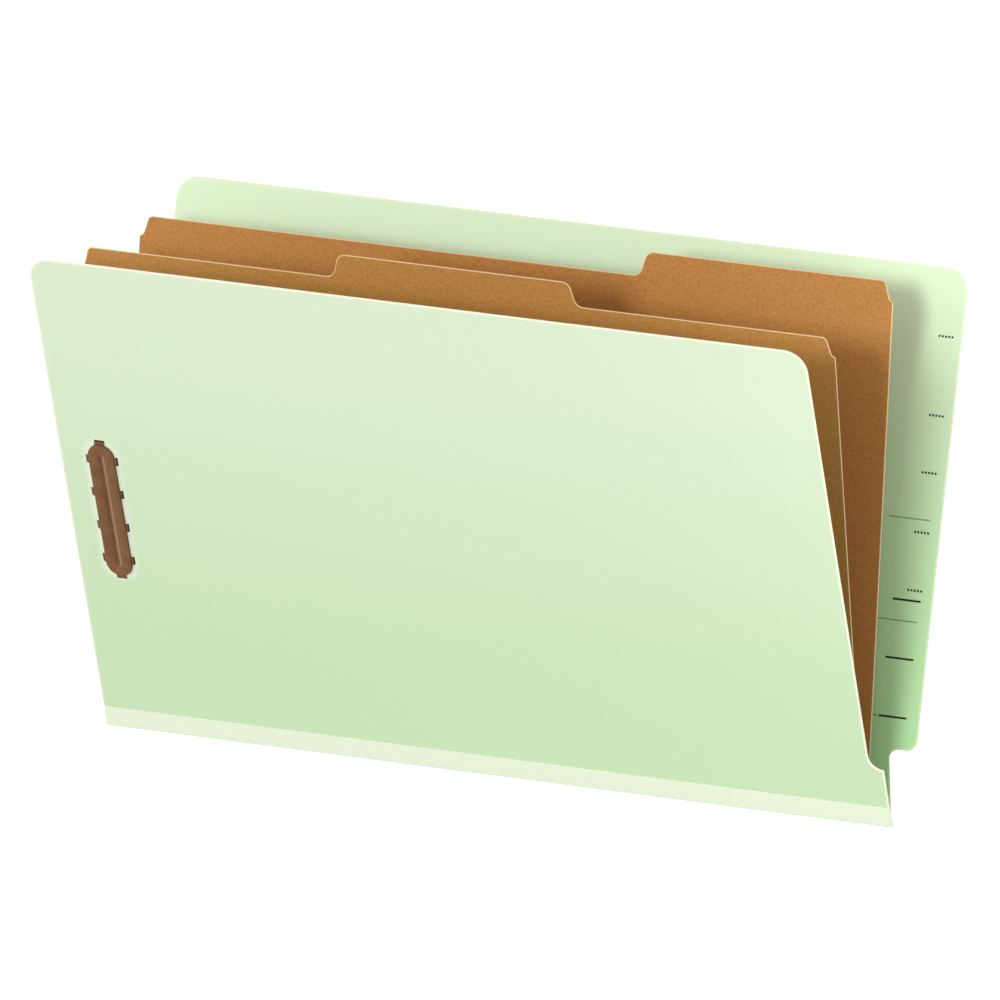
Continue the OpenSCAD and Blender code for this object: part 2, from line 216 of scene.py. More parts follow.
def fibre_group():
    group, given, result = new_group(
        "paper_fibre",
        {"Vector": VECTOR, "Mottle Scale": VALUE, "Streak Scale": VALUE, "Fleck Scale": VALUE,
         "Fleck Share": VALUE},
        {"Mottle": VALUE, "Streak": VALUE, "Fleck": VALUE, "Height": VALUE},
    )
    mottle = add_node(
        group, "ShaderNodeTexNoise",
        {"Vector": given["Vector"], "Scale": given["Mottle Scale"], "Detail": 5.0, "Roughness": 0.62},
    ).outputs["Fac"]
    along = add_node(
        group, "ShaderNodeVectorMath", {0: given["Vector"], 1: FIBRE_STRETCH}, operation="MULTIPLY"
    ).outputs["Vector"]
    streak = add_node(
        group, "ShaderNodeTexNoise",
        {"Vector": along, "Scale": given["Streak Scale"], "Detail": 3.0, "Roughness": 0.55},
    ).outputs["Fac"]
    spots = add_node(
        group, "ShaderNodeTexVoronoi", {"Vector": along, "Scale": given["Fleck Scale"]}
    ).outputs["Distance"]
    fleck = map_range(group, spots, given["Fleck Share"], 0.0)
    height = math_node(group, "ADD", mottle, math_node(group, "MULTIPLY", streak, STREAK_HEIGHT))
    for name, socket in (("Mottle", mottle), ("Streak", streak), ("Fleck", fleck), ("Height", height)):
        group.links.new(socket, result[name])
    return group


paper_fibre = fibre_group()
print("group:", paper_fibre.name)

# %% [markdown]
# ## The pale patch round a crimped plate
# Round the pressed-on steel plate the pressboard is paler. The
# patch follows the plate, so it is a distance to a short straight line, worked out in the
# frame of the leaf and kept to the plate's side of it, the outside of the cover. Painting
# vertices would need a dense mesh on a sheet that is really flat.

# %% Halo group
def halo_group():
    group, given, result = new_group(
        "plate_halo",
        {"Leaf Point": VECTOR, "Across": VALUE, "Up": VALUE, "Half Length": VALUE, "Near": VALUE,
         "Far": VALUE, "Outward": VALUE},
        {"Mask": VALUE, "Outside": VALUE},
    )
    point = add_node(group, "ShaderNodeSeparateXYZ", {"Vector": given["Leaf Point"]}).outputs
    across = math_node(group, "SUBTRACT", point["X"], given["Across"])
    up = math_node(group, "ABSOLUTE", math_node(group, "SUBTRACT", point["Z"], given["Up"]))
    past_end = math_node(group, "MAXIMUM", math_node(group, "SUBTRACT", up, given["Half Length"]), 0.0)
    squares = math_node(
        group, "ADD", math_node(group, "POWER", across, 2.0), math_node(group, "POWER", past_end, 2.0)
    )
    distance = math_node(group, "SQRT", squares)
    outside = math_node(group, "GREATER_THAN", math_node(group, "MULTIPLY", point["Y"], given["Outward"]))
    near = map_range(group, distance, given["Far"], given["Near"])
    group.links.new(math_node(group, "MULTIPLY", near, outside), result["Mask"])
    group.links.new(outside, result["Outside"])
    return group


plate_halo = halo_group()
print("group:", plate_halo.name)

# %% [markdown]
# ## What every finish needs
# Board, film and steel all take a colour, a roughness that varies and a fine bump. Boards also
# need their pattern to lie along the leaf. World coordinates would run askew through a leaning
# sheet, so a Mapping node turns the object's coordinates into the leaf's frame.

# %% Finish helpers
def object_point(tree):
    return add_node(tree, "ShaderNodeTexCoord").outputs["Object"]


def leaf_coordinates(tree, leaf):
    """Object coordinates turned into the frame of a leaf."""
    place = leaf_place[leaf]
    turned = {"Vector": object_point(tree), "Location": place.translation, "Rotation": place.to_euler()}
    return add_node(tree, "ShaderNodeMapping", turned, vector_type="TEXTURE").outputs["Vector"]


def mesh_mark(tree, name):
    """A value that a piece's mesh carries as an attribute."""
    return add_node(tree, "ShaderNodeAttribute", attribute_name=name).outputs["Fac"]


def new_material(name):
    material = bpy.data.materials.new(name)
    material.use_nodes = True
    return material, material.node_tree, material.node_tree.nodes["Principled BSDF"]


def set_finish(tree, shader, colour, roughness, height, bump, depth, specular):
    """Plugs colour, roughness and bump into a shader, and sets how strongly it mirrors."""
    tree.links.new(colour, shader.inputs["Base Color"])
    tree.links.new(roughness, shader.inputs["Roughness"])
    relief = add_node(tree, "ShaderNodeBump", {"Strength": bump, "Distance": depth, "Height": height})
    tree.links.new(relief.outputs["Normal"], shader.inputs["Normal"])
    shader.inputs["Specular IOR Level"].default_value = specular


print("finish helpers ready for", len(leaf_place), "leaves")

# %% [markdown]
# ## Pressboard
# Pressboard is dense, calendered board, dyed pale green: smooth, almost matt, with faint
# fibres and a paler core that shows on every cut edge. The cut edge is painted from a mesh
# attribute that the board's own step writes on its rim; it holds the pale core and a painted
# highlight along the edge. The colour is deeper towards the spine and paler up the leaf, as
# painted shade and painted light, and deeper on the inner faces, as painted shade.

# %% Pressboard material
PLATE_LENGTH, PLATE_WIDTH = 67.2 * MM, 12.7 * MM
HALO_NEAR, HALO_FAR = 0.4 * MM, 4.4 * MM
# Each pair runs from the foot of the leaf to its top: deeper low as painted shade, paler high as painted light.
# The inner pair is deeper still, as painted shade on the inner faces.
OUTER_DYE_SHADED_TO_LIT = srgb(204, 230, 187), srgb(225, 240, 210)
INNER_DYE_SHADED_TO_LIT = srgb(184, 229, 169), srgb(219, 242, 206)
PAINTED_LIGHT_SPAN = 0.1, 1.05
BOARD_MOTTLE, BOARD_FLECK = srgb(160, 196, 140), srgb(236, 245, 226)
# The pale core colour also serves as a painted highlight along the cut edges.
BOARD_CORE_AND_HIGHLIGHT = srgb(250, 251, 228)
BOARD_PALE_PATCH = srgb(238, 246, 224)
MOTTLE_TINT, FLECK_TINT, PALE_PATCH_TINT = 0.06, 0.10, 0.85
PRESSBOARD_ROUGHNESS = 0.42, 0.58
PRESSBOARD_GRAIN = {
    "Mottle Scale": 900.0, "Streak Scale": 420.0, "Fleck Scale": 260.0, "Fleck Share": 0.16,
}


def pressboard(leaf, plate_node):
    material, tree, shader = new_material("pressboard_" + leaf)
    local = leaf_coordinates(tree, leaf)
    low, high = leaf_box(plate_node, leaf)
    centre = (low + high) / 2
    fibre = place_group(tree, paper_fibre, {"Vector": local, **PRESSBOARD_GRAIN})
    halo = place_group(tree, plate_halo, {
        "Leaf Point": local, "Across": centre.x, "Up": centre.z,
        "Half Length": (PLATE_LENGTH - PLATE_WIDTH) / 2,
        "Near": PLATE_WIDTH / 2 + HALO_NEAR, "Far": PLATE_WIDTH / 2 + HALO_FAR,
        "Outward": math.copysign(1.0, centre.y),
    })
    height = add_node(tree, "ShaderNodeSeparateXYZ", {"Vector": local}).outputs["Z"]
    leaf_top = leaf_box(leaf, leaf)[1].z
    # Painted light and shade: the colour pales up the leaf, and the inner faces take the deeper pair.
    painted_light_up = map_range(tree, height, PAINTED_LIGHT_SPAN[0] * leaf_top, PAINTED_LIGHT_SPAN[1] * leaf_top)
    dye_with_painted_light = mix_colours(tree, halo["Outside"], mix_colours(tree, painted_light_up, *INNER_DYE_SHADED_TO_LIT),
                      mix_colours(tree, painted_light_up, *OUTER_DYE_SHADED_TO_LIT))
    mottle = map_range(tree, fibre["Mottle"], 0.3, 0.75, 0.0, MOTTLE_TINT)
    mottled = mix_colours(tree, mottle, dye_with_painted_light, BOARD_MOTTLE)
    fleck = math_node(tree, "MULTIPLY", fibre["Fleck"], FLECK_TINT)
    flecked = mix_colours(tree, fleck, mottled, BOARD_FLECK)
    pale_patch = math_node(tree, "MULTIPLY", halo["Mask"], PALE_PATCH_TINT)
    pale_patched = mix_colours(tree, pale_patch, flecked, BOARD_PALE_PATCH)
    # Pale core and painted edge highlight, from the rim's mesh attribute.
    edged = mix_colours(tree, mesh_mark(tree, "edge_core_and_highlight"), pale_patched, BOARD_CORE_AND_HIGHLIGHT)
    roughness = map_range(tree, fibre["Streak"], 0.25, 0.8, *PRESSBOARD_ROUGHNESS)
    set_finish(tree, shader, edged, roughness, fibre["Height"], bump=0.10, depth=0.05 * MM, specular=0.35)
    return material


board_finish = {
    "front_cover": pressboard("front_cover", "front_fastener_plate"),
    "back_cover": pressboard("back_cover", "back_fastener_plate"),
}
print("materials:", [material.name for material in board_finish.values()])

# %% [markdown]
# ## Kraft board
# The dividers are unbleached brown kraft: warmer and rougher than the covers, with a sandy
# speckle and short fibres. A new pattern isn't needed: the same fibre group does it at other
# scales and with far more contrast. The cut edge is pale tan, with a painted highlight along it.

# %% Kraft material
KRAFT_DARK, KRAFT_LIGHT = srgb(177, 121, 59), srgb(197, 140, 75)
KRAFT_STREAK, KRAFT_FLECK = srgb(150, 96, 46), srgb(130, 82, 40)
# The pale tan core colour also serves as a painted highlight along the cut edges.
KRAFT_CORE_AND_HIGHLIGHT = srgb(234, 204, 156)
KRAFT_STREAK_TINT, KRAFT_FLECK_TINT = 0.12, 0.18
KRAFT_ROUGHNESS = 0.78, 0.66
KRAFT_GRAIN = {
    "Mottle Scale": 700.0, "Streak Scale": 900.0, "Fleck Scale": 900.0, "Fleck Share": 0.3,
}


def kraft(leaf):
    material, tree, shader = new_material("kraft_" + leaf)
    fibre = place_group(tree, paper_fibre, {"Vector": leaf_coordinates(tree, leaf), **KRAFT_GRAIN})
    sandy = mix_colours(tree, map_range(tree, fibre["Mottle"], 0.25, 0.75), KRAFT_DARK, KRAFT_LIGHT)
    streak = map_range(tree, fibre["Streak"], 0.35, 0.7, 0.0, KRAFT_STREAK_TINT)
    streaked = mix_colours(tree, streak, sandy, KRAFT_STREAK)
    fleck = math_node(tree, "MULTIPLY", fibre["Fleck"], KRAFT_FLECK_TINT)
    flecked = mix_colours(tree, fleck, streaked, KRAFT_FLECK)
    # Pale core and painted edge highlight, from the rim's mesh attribute.
    edged = mix_colours(tree, mesh_mark(tree, "edge_core_and_highlight"), flecked, KRAFT_CORE_AND_HIGHLIGHT)
    roughness = map_range(tree, fibre["Mottle"], 0.2, 0.8, *KRAFT_ROUGHNESS)
    set_finish(tree, shader, edged, roughness, fibre["Height"], bump=0.22, depth=0.06 * MM, specular=0.25)
    return material


DIVIDERS = ("front_divider", "rear_divider")
for leaf in DIVIDERS:
    board_finish[leaf] = kraft(leaf)
print("materials:", [board_finish[leaf].name for leaf in DIVIDERS])

# %% [markdown]
# ## Spun film
# The gusset is a spun film: pale green, papery, with a cloud of crossing threads and a soft
# sheen. A see-through shader would suit thin film, but this one is dense enough to hide the
# board, so it is the fibre group once more, with pale threads in place of flecks.

# %% Film material
FILM_DARK, FILM_LIGHT, FILM_THREAD = srgb(231, 243, 215), srgb(236, 247, 220), srgb(244, 251, 232)
THREAD_TINT = 0.3
FILM_ROUGHNESS = 0.45, 0.6
FILM_GRAIN = {
    "Mottle Scale": 500.0, "Streak Scale": 900.0, "Fleck Scale": 700.0, "Fleck Share": 0.25,
}


def spun_film():
    material, tree, shader = new_material("spun_film")
    fibre = place_group(tree, paper_fibre, {"Vector": object_point(tree), **FILM_GRAIN})
    cloud = mix_colours(tree, map_range(tree, fibre["Mottle"], 0.25, 0.75), FILM_DARK, FILM_LIGHT)
    thread = math_node(tree, "MULTIPLY", fibre["Fleck"], THREAD_TINT)
    threaded = mix_colours(tree, thread, cloud, FILM_THREAD)
    roughness = map_range(tree, fibre["Streak"], 0.3, 0.7, *FILM_ROUGHNESS)
    set_finish(tree, shader, threaded, roughness, fibre["Height"], bump=0.15, depth=0.04 * MM, specular=0.4)
    return material


film_finish = spun_film()
print("material:", film_finish.name)

# %% [markdown]
# ## Brown steel and ink
# The fasteners are steel strip under a thin brown lacquer, which shines a little and has a
# slight ripple. The lacquer hides the metal, so the shader isn't metallic. Where a plate meets
# the board, where a claw enters it and on one wall of the channel, the lacquer is darkened as
# painted shade, and the channel's other wall carries a painted highlight. Two mesh attributes
# mark these places. The label guides are plain black ink.

# %% Steel and ink materials
LACQUER_DARK, LACQUER_LIGHT = srgb(117, 79, 45), srgb(129, 89, 52)
# A painted highlight colour, then a painted shade colour.
LACQUER_PAINTED_HIGHLIGHT, LACQUER_PAINTED_SHADE = srgb(166, 129, 102), srgb(62, 42, 26)
LACQUER_ROUGHNESS = 0.34, 0.46
RIPPLE_NOISE = {"Scale": 700.0, "Detail": 2.0}
CLOUD_NOISE = {"Scale": 160.0, "Detail": 4.0}
INK_NOISE = {"Scale": 3000.0, "Detail": 2.0}
INK_DARK, INK_LIGHT = srgb(8, 12, 8), srgb(24, 30, 22)
INK_ROUGHNESS = 0.6


def noise(tree, settings):
    """Noise on the object's own coordinates."""
    point = object_point(tree)
    return add_node(tree, "ShaderNodeTexNoise", {"Vector": point, **settings}).outputs["Fac"]


def lacquered_steel():
    material, tree, shader = new_material("lacquered_steel")
    cloud = noise(tree, CLOUD_NOISE)
    lacquer = mix_colours(tree, map_range(tree, cloud, 0.3, 0.7), LACQUER_DARK, LACQUER_LIGHT)
    # Painted highlight on the channel's lit wall.
    painted_highlight = mix_colours(tree, mesh_mark(tree, "painted_highlight"), lacquer, LACQUER_PAINTED_HIGHLIGHT)
    # Painted shade at the plate's foot, in the claws' slits and on the channel's shaded wall.
    shaded_lacquer = mix_colours(tree, mesh_mark(tree, "painted_shade"), painted_highlight, LACQUER_PAINTED_SHADE)
    roughness = map_range(tree, cloud, 0.25, 0.75, *LACQUER_ROUGHNESS)
    ripple = noise(tree, RIPPLE_NOISE)
    set_finish(tree, shader, shaded_lacquer, roughness, ripple, bump=0.08, depth=0.05 * MM, specular=0.2)
    return material


def printed_ink():
    material, tree, shader = new_material("printed_ink")
    worn = map_range(tree, noise(tree, INK_NOISE), 0.35, 0.75)
    tree.links.new(mix_colours(tree, worn, INK_DARK, INK_LIGHT), shader.inputs["Base Color"])
    shader.inputs["Roughness"].default_value = INK_ROUGHNESS
    return material


steel_finish = lacquered_steel()
ink_finish = printed_ink()
print("materials:", steel_finish.name, ink_finish.name)

# %% [markdown]
# ## From a frame mesh to a finished piece
# A mesh of the frame is loose triangles. To work on its edges we take a copy, merge its points
# and dissolve its flat faces into large ones. The other end of the work is the same for every
# piece too: the bmesh becomes an object that has a finish, rides on a body and stands for
# nodes of the frame. Sharp edges are found by angle, so no edge has to be picked by hand.

# %% Mesh helpers
MERGE = 1e-6
FLAT_ANGLE = math.radians(0.5)
SHARP_ANGLE = math.radians(40)
ROLL_STEPS = 2


def merged_copy(node):
    """A bmesh copy of a CAD node, with its triangles joined and its flat faces dissolved."""
    bm = bmesh.new()
    bm.from_mesh(frame["nodes"][node].data)
    bmesh.ops.remove_doubles(bm, verts=bm.verts, dist=MERGE)
    bmesh.ops.dissolve_limit(bm, angle_limit=FLAT_ANGLE, verts=bm.verts, edges=bm.edges)
    return bm


def sharp_edges(bm):
    return [edge for edge in bm.edges if edge.is_manifold and edge.calc_face_angle() > SHARP_ANGLE]


def round_edges(bm, edges, width, segments):
    bmesh.ops.bevel(
        bm, geom=edges, offset=width, offset_type="OFFSET", affect="EDGES", segments=segments,
        profile=0.5, material=-1, clamp_overlap=True,
    )


def finish_piece(name, bm, material, body=None, replaced=()):
    """Turns a bmesh into a piece that rides on a body and stands for CAD nodes."""
    mesh = bpy.data.meshes.new(name)
    bm.to_mesh(mesh)
    bm.free()
    mesh.set_sharp_from_angle(angle=SHARP_ANGLE)
    mesh.materials.append(material)
    piece = bpy.data.objects.new(name, mesh)
    bpy.context.scene.collection.objects.link(piece)
    if body:
        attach(piece, body)
    if replaced:
        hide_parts(*replaced)
    return piece


print("edges count as sharp past", round(math.degrees(SHARP_ANGLE)), "degrees")

# %% [markdown]
# ## The four boards
# The outlines are already exact in the frame: foot, scoop, end tab and index tabs. What a die
# cutter leaves is an edge that is slightly rolled and paler than the face. So each board is a
# merged copy of its frame mesh with the rim bevelled and a narrow band inset along the outline.
# The rim and the band carry a mesh attribute, which fades the pale core and a painted edge highlight into the
# face.
# A noise mask would fray the edge, but a die cuts it clean.

# %% Cut boards
FACING = 0.999
FASTENER_STRIP = 40 * MM
SLIT_MARGIN, SLIT_REACH = 5 * MM, 1.5 * FASTENER_STRIP
KEPT_EDGE = 0.3
COVER_EDGE = {"band": 0.5 * MM, "fade": 0.35 * MM, "roll": 0.12 * MM}
DIVIDER_EDGE = {"band": 0.22 * MM, "fade": 0.18 * MM, "roll": 0.08 * MM}


def pale_core_and_highlight(leaf, top, point):
    """How much pale core and painted edge highlight shows: none at slits, little by the fastener and on the back
    cover.
    """
    by_fastener = point.x < FASTENER_STRIP
    if by_fastener and point.x > SLIT_MARGIN and abs(point.z - top / 2) < SLIT_REACH:
        return 0.0
    below_corner = point.z < top - FASTENER_STRIP / 2
    return KEPT_EDGE if by_fastener and below_corner or leaf == "back_cover" else 1.0


def cut_board(leaf, band, fade, roll, slot):
    bm = merged_copy(leaf)
    bmesh.ops.remove_doubles(bm, verts=bm.verts, dist=roll)
    round_edges(bm, sharp_edges(bm), roll, ROLL_STEPS)
    # The rim's attribute holds the pale core and a painted highlight along the edge.
    core_highlight_layer = bm.verts.layers.float.new("edge_core_and_highlight")
    normal = leaf_normal(leaf)
    into_leaf = leaf_place[leaf].inverted()
    top = leaf_box(leaf, leaf)[1].z
    for vertex in bm.verts:
        vertex[core_highlight_layer] = pale_core_and_highlight(leaf, top, into_leaf @ vertex.co)
    for side in (1, -1):
        flat = [face for face in bm.faces if face.normal.dot(normal) * side > FACING]
        for width in (band, fade):
            bmesh.ops.inset_region(
                bm, faces=flat, thickness=width, use_boundary=True, use_even_offset=True
            )
        for vertex in {vertex for face in flat for vertex in face.verts}:
            vertex[core_highlight_layer] = 0.0
    for face in bm.faces:
        face.smooth = abs(face.normal.dot(normal)) < FACING
    return finish_piece(leaf + "_board", bm, board_finish[leaf], leaf, [leaf])


for leaf in LEAVES:
    if leaf in DIVIDERS:
        board = cut_board(leaf, slot="kraft_board", **DIVIDER_EDGE)
    else:
        board = cut_board(leaf, slot="pressboard", **COVER_EDGE)
    print(board.name, len(board.data.polygons), "faces")

# %% [markdown]
# ## The film gusset
# One film runs from the outside of the front cover, under the spine in three pleated steps, to
# the outside of the back cover. Cloth simulation could drape it, but creased film lies where it
# was folded. So each stretch is a ribbon: a path in Y and Z whose corners are rounded by a
# vertex bevel, then extruded along the spine and thickened.

# %% Film measures
FILM = 0.2 * MM
FLOOR_MIDDLE = FILM / 2


def on_leaf(leaf, y, z):
    """A point of a leaf's own frame as (y, z) of the whole part."""
    point = leaf_place[leaf] @ Vector((0, y, z))
    return point.y, point.z


def skin(leaf):
    """Distance from a leaf's middle plane to the middle of film that lies on it."""
    return leaf_thickness(leaf) / 2 + FILM / 2


print("film", FILM / MM, "mm thick")

# %% Ribbon of film
FOLD_STEPS = 8


def thicken(piece):
    """Gives a sheet the thickness of the film, half to each side."""
    shell = piece.modifiers.new("film", "SOLIDIFY")
    shell.thickness = FILM
    shell.offset = 0.0
    thick = piece.evaluated_get(bpy.context.evaluated_depsgraph_get())
    piece.data = bpy.data.meshes.new_from_object(thick)
    piece.modifiers.clear()
    piece.data.set_sharp_from_angle(angle=SHARP_ANGLE)
    return piece


def ribbon(name, path, start_x, end_x, fold, trim=None):
    """A ribbon of film along the spine that follows a path of (y, z) points with rounded folds.

    The ribbon's far end can be trimmed by a plane, given as a point and a normal.
    """
    bm = bmesh.new()
    points = [bm.verts.new((start_x, y, z)) for y, z in path]
    for pair in zip(points, points[1:]):
        bm.edges.new(pair)
    bmesh.ops.bevel(
        bm, geom=points[1:-1], offset=fold, offset_type="OFFSET", affect="VERTICES",
        segments=FOLD_STEPS, profile=0.5, material=-1, clamp_overlap=True,
    )
    bmesh.ops.remove_doubles(bm, verts=bm.verts, dist=FILM / 10)
    drawn = bmesh.ops.extrude_edge_only(bm, edges=bm.edges[:])
    far_points = [item for item in drawn["geom"] if isinstance(item, bmesh.types.BMVert)]
    bmesh.ops.translate(bm, verts=far_points, vec=(end_x - start_x, 0, 0))
    if trim:
        every_part = bm.verts[:] + bm.edges[:] + bm.faces[:]
        bmesh.ops.bisect_plane(bm, geom=every_part, plane_co=trim[0], plane_no=trim[1], clear_outer=True)
    bmesh.ops.recalc_face_normals(bm, faces=bm.faces)
    for face in bm.faces:
        face.smooth = True
    return thicken(finish_piece(name, bm, film_finish))


print("folds are rounded in", FOLD_STEPS, "steps")

# %% [markdown]
# ### Laps on the covers
# The front lap shows as the pale strip along the foot of the front cover. It goes over the
# fold and ends on the floor of the gusset. The back lap goes round the lower edge of the back
# cover and turns with it. Paint on the cover would look the same from afar, but it would have
# no edge.

# %% Laps
LAP_FOLD = 0.35 * MM
LAP_INNER = 3 * MM
BACK_FOLD_UP = 1.3 * FILM
FOLD_REACH = 0.6 * MM


def lap_corner(leaf):
    """Where the front lap's line meets the middle of the gusset floor."""
    lean = leaf_lean(leaf)
    up = (FLOOR_MIDDLE + skin(leaf) * math.sin(lean)) / math.cos(lean)
    return on_leaf(leaf, -skin(leaf), up)


def front_lap():
    low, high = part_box("front_lap")
    lap_top = leaf_box("front_lap", "front_cover")[1].z
    hinge = hinge_y["front_cover"]
    path = [on_leaf("front_cover", -skin("front_cover"), lap_top), lap_corner("front_cover"),
            (hinge + FOLD_REACH, FLOOR_MIDDLE)]
    piece = ribbon("front_lap_film", path, low.x, high.x, LAP_FOLD)
    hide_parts("front_lap")
    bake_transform(piece)
    return piece


def back_foot_edge(foot_x):
    """The plane through the back cover's slanting edge beside its lap."""
    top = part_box("back_lap")[1].z
    edge_x = max(vertex.co.x for vertex in frame["nodes"]["back_lap"].data.vertices
                 if vertex.co.z > top - FILM)
    return (foot_x, 0, 0), (top, 0, foot_x - edge_x)


def back_lap():
    low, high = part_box("back_lap")
    lap_top = leaf_box("back_lap", "back_cover")[1].z
    out = skin("back_cover")
    path = [on_leaf("back_cover", out, lap_top), on_leaf("back_cover", out, BACK_FOLD_UP),
            on_leaf("back_cover", -out, BACK_FOLD_UP), on_leaf("back_cover", -out, LAP_INNER)]
    piece = ribbon("back_lap_film", path, low.x, high.x, LAP_FOLD, trim=back_foot_edge(high.x))
    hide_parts("back_lap")
    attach(piece, "back_cover")
    return piece


for lap in (front_lap(), back_lap()):
    print(lap.name, len(lap.data.vertices), "points")

# %% [markdown]
# ### Tapes on the dividers
# Each divider is hinged by a tape folded round its lower edge, with equal flaps on both faces.
# It is a ribbon like the laps, and it turns with the divider, so it needs no blend.

# %% Tapes
FILM_FOLD = 0.25 * MM


def divider_tape(leaf):
    node = leaf + "_tape"
    low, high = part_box(node)
    top = leaf_box(node, leaf)[1].z
    out = skin(leaf)
    path = [on_leaf(leaf, -out, top), on_leaf(leaf, -out, FILM), on_leaf(leaf, out, FILM),
            on_leaf(leaf, out, top)]
    piece = ribbon(leaf + "_tape_film", path, low.x, high.x, FILM_FOLD)
    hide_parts(node)
    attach(piece, leaf)
    return piece


for leaf in DIVIDERS:
    print(divider_tape(leaf).name)

# %% [markdown]
# ### Floors and pleats
# Under each compartment the film runs flat from one hinge line to the middle and then stands
# up in a narrow pleat, which stores the width that lets the folder swell. Floor and pleat are
# one ribbon. The crest is a little wider than the film is thick, so that its inner side stays
# open.

# %% Gusset films
CREST_WIDTH = 0.24 * MM
PLEAT_GAP, PLEAT_FOOT = 1.6 * FILM, 2 * FILM
GUSSETS = {
    "front_gusset": ("front_cover", "front_divider"),
    "middle_gusset": ("front_divider", "rear_divider"),
    "back_gusset": ("rear_divider", "back_cover"),
}


def gusset_film(gusset, leaf, leaf_behind):
    floor_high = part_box(gusset + "_floor")[1]
    pleat_low, pleat_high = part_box(gusset + "_pleat")
    lean = (leaf_lean(leaf) + leaf_lean(leaf_behind)) / 2
    foot = hinge_y[leaf_behind] - leaf_thickness(leaf_behind) / 2 - PLEAT_GAP
    crest_y = (floor_high.y + foot) / 2 - pleat_high.z * math.tan(lean)
    crest_z = pleat_high.z - FILM / 2
    path = [(hinge_y[leaf], FLOOR_MIDDLE), (floor_high.y, FLOOR_MIDDLE),
            (crest_y - CREST_WIDTH / 2, crest_z), (crest_y + CREST_WIDTH / 2, crest_z),
            (foot, PLEAT_FOOT)]
    piece = ribbon(gusset + "_film", path, pleat_low.x, pleat_high.x, FILM_FOLD)
    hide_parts(gusset + "_floor", gusset + "_pleat")
    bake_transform(piece)
    return piece


for gusset, (leaf, leaf_behind) in GUSSETS.items():
    film = gusset_film(gusset, leaf, leaf_behind)
    print(film.name, len(film.data.vertices), "points")

# %% [markdown]
# ## The outer fastener plates
# Each cover carries a pressed steel plate: a stadium whose rim turns down to the board, with
# a long channel along its middle. It could be cut with booleans, but a press shapes the sheet
# without cutting it. So the plate starts as a circle pulled out into a stadium, and insets that
# sink step by step press the channel.

# %% Stadium and channel
PLATE_HEIGHT, PLATE_ROUND = 1.1 * MM, 0.45 * MM
ROUND_SEGMENTS, PLATE_ROUND_STEPS = 48, 5
CHANNEL_WIDTH, CHANNEL_DEPTH = 3.6 * MM, 0.68 * MM
CHANNEL_RINGS, CHANNEL_REACH = 8, 0.94


def stadium_disc(bm, length, width, thickness):
    """A stadium of sheet, long in Z, with its lower face at Y = 0 and its upper face towards -Y."""
    disc = bmesh.ops.create_circle(bm, cap_ends=True, segments=ROUND_SEGMENTS, radius=width / 2)
    bmesh.ops.rotate(bm, verts=disc["verts"], matrix=Matrix.Rotation(math.pi / ROUND_SEGMENTS, 3, "Z"))
    bmesh.ops.rotate(bm, verts=disc["verts"], matrix=Matrix.Rotation(math.radians(90), 3, "X"))
    for vertex in disc["verts"]:
        vertex.co.z += math.copysign((length - width) / 2, vertex.co.z)
    block = bmesh.ops.extrude_face_region(bm, geom=bm.faces[:])
    raised = [item for item in block["geom"] if isinstance(item, bmesh.types.BMVert)]
    bmesh.ops.translate(bm, verts=raised, vec=(0, -thickness, 0))
    bmesh.ops.recalc_face_normals(bm, faces=bm.faces)


def top_face(bm):
    return min(bm.faces, key=lambda face: face.calc_center_median().y)


def press_channel(bm, face):
    """Sinks a rounded channel into a face, ring by ring."""
    def ring_in(width, sink=0.0):
        bmesh.ops.inset_region(bm, faces=[face], thickness=width, depth=-sink, use_even_offset=True)

    ring_in((PLATE_WIDTH - CHANNEL_WIDTH) / 2 - PLATE_ROUND)
    step = CHANNEL_REACH / CHANNEL_RINGS
    for ring in range(CHANNEL_RINGS):
        near, far = 1 - step * ring, 1 - step * (ring + 1)
        ring_in(step * CHANNEL_WIDTH / 2, (near ** 2 - far ** 2) * CHANNEL_DEPTH)


def pressed_sheet():
    bm = bmesh.new()
    stadium_disc(bm, PLATE_LENGTH, PLATE_WIDTH, PLATE_HEIGHT)
    round_edges(bm, list(top_face(bm).edges), PLATE_ROUND, PLATE_ROUND_STEPS)
    press_channel(bm, top_face(bm))
    return bm


print("channel pressed in", CHANNEL_RINGS, "rings")

# %% [markdown]
# ### Claws and tongues
# Four claws a side bite into the board, and a tongue at each end goes through it. Each is a
# strip that is extruded, spun round its bend and extruded again, as a press brake would form
# it. Plain blocks would look cast. The end of a claw spreads in its slit, so no light comes
# through. Faces that end up inside the strip are deleted, which leaves a closed skin.

# %% Bent strips
STEEL = 0.4 * MM
BEND_RADIUS, BEND_STEPS = 0.15 * MM, 5
CLAWS_A_SIDE, CLAW_PITCH, CLAW_LENGTH, CLAW_REACH = 4, 17 * MM, 4 * MM, 1.0 * MM
CLAW_LEG_SHARE, SLIT_REVEAL = 0.7, 0.45 * MM
TONGUE_WIDTH, TONGUE_ROOT = 4.8 * MM, PLATE_LENGTH / 2 - 2 * STEEL


def push(bm, faces, offset):
    """Extrudes faces along an offset and returns the moved ones."""
    moved = bmesh.ops.extrude_face_region(bm, geom=faces)["geom"]
    bmesh.ops.translate(bm, verts=[v for v in moved if isinstance(v, bmesh.types.BMVert)], vec=offset)
    return [f for f in moved if isinstance(f, bmesh.types.BMFace)]


